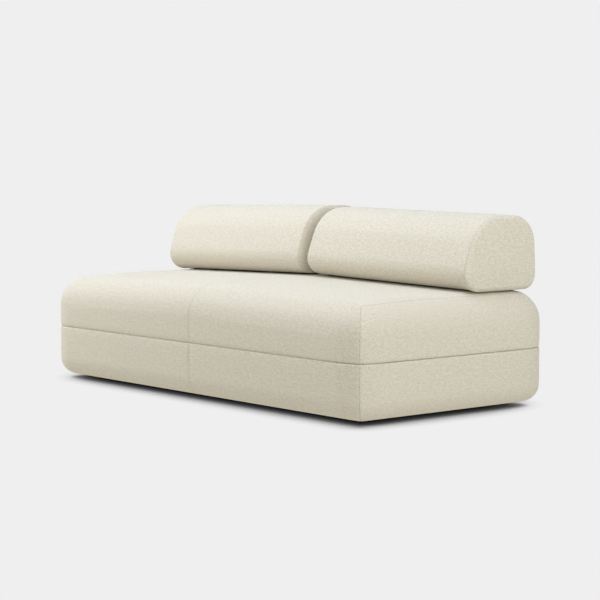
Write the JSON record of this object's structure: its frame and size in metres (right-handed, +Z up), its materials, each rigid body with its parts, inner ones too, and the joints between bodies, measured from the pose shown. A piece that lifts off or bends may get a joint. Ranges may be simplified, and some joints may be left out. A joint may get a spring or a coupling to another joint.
{
  "type": "sofa bed",
  "caption": "Low upholstered sofa bed: a padded base, a seat that folds forward on the front seam into a bed, and loose back bolsters.",
  "frame": {"origin": "on the floor under the middle of the sofa", "axes": "+X along the sofa, to the right as seen from the front, +Y from front to back, +Z up"},
  "size_m": [2, 0.973, 0.7431],
  "materials": {
    "cream_fabric": "felted woven wool-blend upholstery in cream, matt with a soft nap",
    "foam": "cream polyurethane comfort foam, cut faces",
    "firm_foam": "pale grey firm polyurethane foam, cut faces",
    "timber": "planed pine, eased edges",
    "plywood": "birch plywood, sanded",
    "black_plastic": "moulded black plastic",
    "black_cloth": "black non-woven lining cloth",
    "webbing": "sewn cotton webbing",
    "grip_mat": "thin black non-slip mat"
  },
  "bodies": {
    "base": {"base_front_rail": "timber", "base_rear_rail": "timber", "base_left_rail": "timber", "base_right_rail": "timber", "base_cross_rail_1": "timber", "base_cross_rail_2": "timber", "base_cross_rail_3": "timber", "corner_block_front_left": "timber", "corner_block_front_right": "timber", "corner_block_rear_left": "timber", "corner_block_rear_right": "timber", "base_deck": "plywood", "base_edge_foam": "firm_foam", "base_mattress_foam": "foam", "base_cover": "cream_fabric", "base_dust_cloth": "black_cloth", "glide_front_1": "black_plastic", "glide_front_2": "black_plastic", "glide_front_3": "black_plastic", "glide_rear_1": "black_plastic", "glide_rear_2": "black_plastic", "glide_rear_3": "black_plastic", "hinge_tape_lower": "webbing"},
    "seat": {"seat_sleep_foam": "foam", "seat_core_foam": "firm_foam", "seat_top_foam": "foam", "seat_cover": "cream_fabric", "seat_sleep_panel": "cream_fabric", "hinge_tape_upper": "webbing"},
    "left_mat": {"left_bolster_mat": "grip_mat"},
    "left_bolster": {"left_bolster_cover": "cream_fabric", "left_bolster_grip_panel": "black_cloth", "left_bolster_board": "plywood", "left_bolster_foam": "foam"},
    "right_mat": {"right_bolster_mat": "grip_mat"},
    "right_bolster": {"right_bolster_cover": "cream_fabric", "right_bolster_grip_panel": "black_cloth", "right_bolster_board": "plywood", "right_bolster_foam": "foam"}
  },
  "joints": [
    {"name": "seat_unfold", "type": "hinge", "parent": "base", "child": "seat", "pos_m": [0, -0.487, 0.2201], "axis": [1, 0, 0], "range_deg": [0, 180]},
    {"name": "left_bolster_carry", "type": "hinge", "parent": "seat", "child": "left_mat", "pos_m": [-0.479, 0.4905, 0.43886], "axis": [1, 0, 0], "range_deg": [-180, 0]},
    {"name": "right_bolster_carry", "type": "hinge", "parent": "seat", "child": "right_mat", "pos_m": [0.479, 0.4905, 0.43886], "axis": [1, 0, 0], "range_deg": [-180, 0]},
    {"name": "left_bolster_lift", "type": "slide", "parent": "left_mat", "child": "left_bolster", "axis": [0, 0, 1], "range_m": [0, 0.3]},
    {"name": "right_bolster_lift", "type": "slide", "parent": "right_mat", "child": "right_bolster", "axis": [0, 0, 1], "range_m": [0, 0.3]}
  ],
  "couplings": [
    {"joint": "left_bolster_carry", "follows": "seat_unfold", "ratio": -1},
    {"joint": "right_bolster_carry", "follows": "seat_unfold", "ratio": -1}
  ]
}
